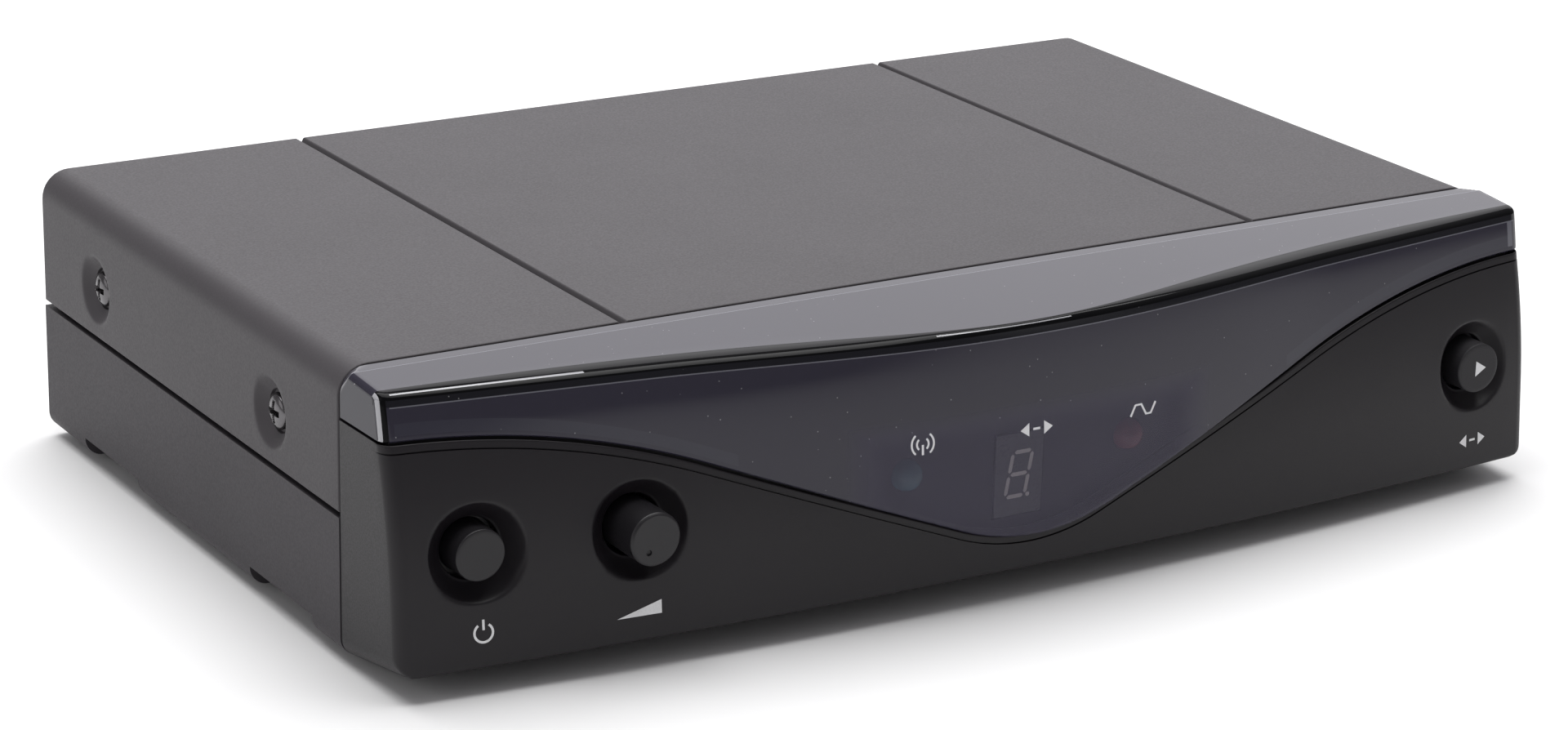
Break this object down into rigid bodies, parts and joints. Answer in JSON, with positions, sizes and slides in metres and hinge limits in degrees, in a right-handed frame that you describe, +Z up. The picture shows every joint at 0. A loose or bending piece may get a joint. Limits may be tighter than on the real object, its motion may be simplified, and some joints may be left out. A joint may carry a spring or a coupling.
{
  "type": "wireless receiver unit",
  "caption": "Half-width table-top radio microphone receiver with a curved front panel, smoked display window, push buttons, volume knob and rear antenna and audio sockets.",
  "frame": {"origin": "middle of the footprint, on the surface that the feet stand on", "axes": "+X to the unit's right as seen from the front, +Y from the front panel to the rear sockets, +Z up"},
  "size_m": [0.2, 0.144, 0.044],
  "materials": {
    "cover_plastic": "fine-textured moulded ABS, dark warm grey, satin",
    "case_plastic": "fine-textured moulded ABS, dark warm grey, matt",
    "panel_plastic": "fine-textured black ABS",
    "smoked_window": "smoked blue-grey clear plastic, polished",
    "black_mask": "matt black",
    "button_plastic": "satin black",
    "button_rubber": "soft black rubber",
    "foot_rubber": "matt black rubber",
    "green_lens": "clear tinted blue-green, unlit",
    "red_lens": "clear tinted red, unlit",
    "digit_face": "grey-faced digit, unlit",
    "dark_plastic": "black moulded parts",
    "white_plastic": "natural nylon and PTFE",
    "board": "green solder mask on glass-fibre board",
    "tinned_steel": "tinned sheet steel",
    "steel": "zinc-plated steel",
    "nickel": "nickel plate",
    "brass": "bare or gold-flashed brass",
    "aluminium": "black-anodised extrusion",
    "capacitor_sleeve": "dark blue shrink sleeve",
    "cable_grey": "grey PVC flat cable"
  },
  "bodies": {
    "root": {"top_cover": "cover_plastic", "bottom_case": "case_plastic", "rear_panel": "black_mask", "front_panel": "panel_plastic", "display_window": "smoked_window", "display_mask": "black_mask", "front_board": "board", "digit_display": "digit_face", "display_header": "dark_plastic", "rf_led": "green_lens", "clip_led": "red_lens", "led_spacers": "dark_plastic", "power_switch": "dark_plastic", "volume_pot": "tinned_steel", "channel_switch": "dark_plastic", "main_board": "board", "tuner_shield": "tinned_steel", "synthesiser_shield": "tinned_steel", "filter_capacitors": "capacitor_sleeve", "audio_chips": "dark_plastic", "heat_sink": "aluminium", "voltage_regulator": "dark_plastic", "ribbon_cable": "cable_grey", "board_headers": "white_plastic", "board_screws": "steel", "case_inserts": "brass", "side_screws": "steel", "rear_screws": "steel", "panel_screws": "steel", "feet": "foot_rubber", "antenna_socket_a": "nickel", "antenna_socket_b": "nickel", "antenna_nuts": "nickel", "antenna_insulators": "white_plastic", "antenna_contacts": "brass", "xlr_shell": "dark_plastic", "xlr_insert": "dark_plastic", "xlr_pins": "nickel", "xlr_screws": "steel", "jack_socket": "dark_plastic", "jack_nut": "nickel", "dc_socket": "dark_plastic", "dc_pin": "nickel"},
    "power_key": {"power_button": "button_plastic", "power_plunger": "white_plastic"},
    "volume_control": {"volume_knob": "button_plastic", "volume_shaft": "steel"},
    "channel_key": {"channel_button": "button_rubber", "channel_plunger": "white_plastic"}
  },
  "joints": [
    {"name": "power_push", "type": "slide", "parent": "root", "child": "power_key", "axis": [0, 1, 0], "range_m": [0, 0.0022], "stiffness_N_per_m": 600},
    {"name": "volume_turn", "type": "hinge", "parent": "root", "child": "volume_control", "pos_m": [-0.0634, -0.0668, 0.0205], "axis": [0, 1, 0], "range_deg": [0, 300]},
    {"name": "channel_push", "type": "slide", "parent": "root", "child": "channel_key", "axis": [0, 1, 0], "range_m": [0, 0.0012], "stiffness_N_per_m": 800}
  ]
}
